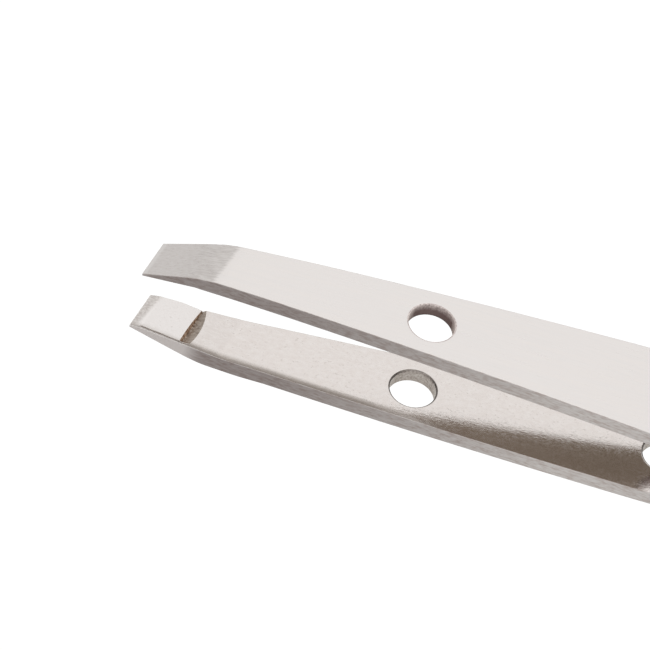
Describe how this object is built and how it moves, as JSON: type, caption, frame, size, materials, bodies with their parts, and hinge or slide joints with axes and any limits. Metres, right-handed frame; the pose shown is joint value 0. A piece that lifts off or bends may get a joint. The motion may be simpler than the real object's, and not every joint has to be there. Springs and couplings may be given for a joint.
{
  "type": "slant tweezers",
  "caption": "Slant-tip tweezers: two bowed stainless-steel arms with round grip holes, ground slant tips and a filed groove behind each gripping pad, welded at the tail.",
  "frame": {"origin": "middle of the bounding box on the underside, below the middle of the tool's length", "axes": "+X along the tool from the tip to the welded tail, Y across the arms with the tip's longer corner on -Y, +Z from the lower arm to the upper arm"},
  "size_m": [0.095, 0.0104, 0.0112],
  "materials": {
    "brushed_stainless": "satin stainless steel, brushed along the arms outside and tumbled inside, with coarser grinding on the tips",
    "weld_metal": "dull cast weld metal, sealed between the tails"
  },
  "bodies": {
    "tail": {"upper_tail_leaf": "brushed_stainless", "lower_tail_leaf": "brushed_stainless", "weld_spot_front": "weld_metal", "weld_spot_rear": "weld_metal"},
    "upper_arm": {"upper_arm": "brushed_stainless"},
    "lower_arm": {"lower_arm": "brushed_stainless"}
  },
  "joints": [
    {"name": "upper_arm_flex", "type": "hinge", "parent": "tail", "child": "upper_arm", "pos_m": [0.0285, 0, 0.00679], "axis": [0, -1, 0], "range_deg": [0, 2.56], "stiffness_Nm_per_rad": 1.2},
    {"name": "lower_arm_flex", "type": "hinge", "parent": "tail", "child": "lower_arm", "pos_m": [0.0285, 0, 0.00461], "axis": [0, 1, 0], "range_deg": [0, 2.56], "stiffness_Nm_per_rad": 1.2}
  ]
}
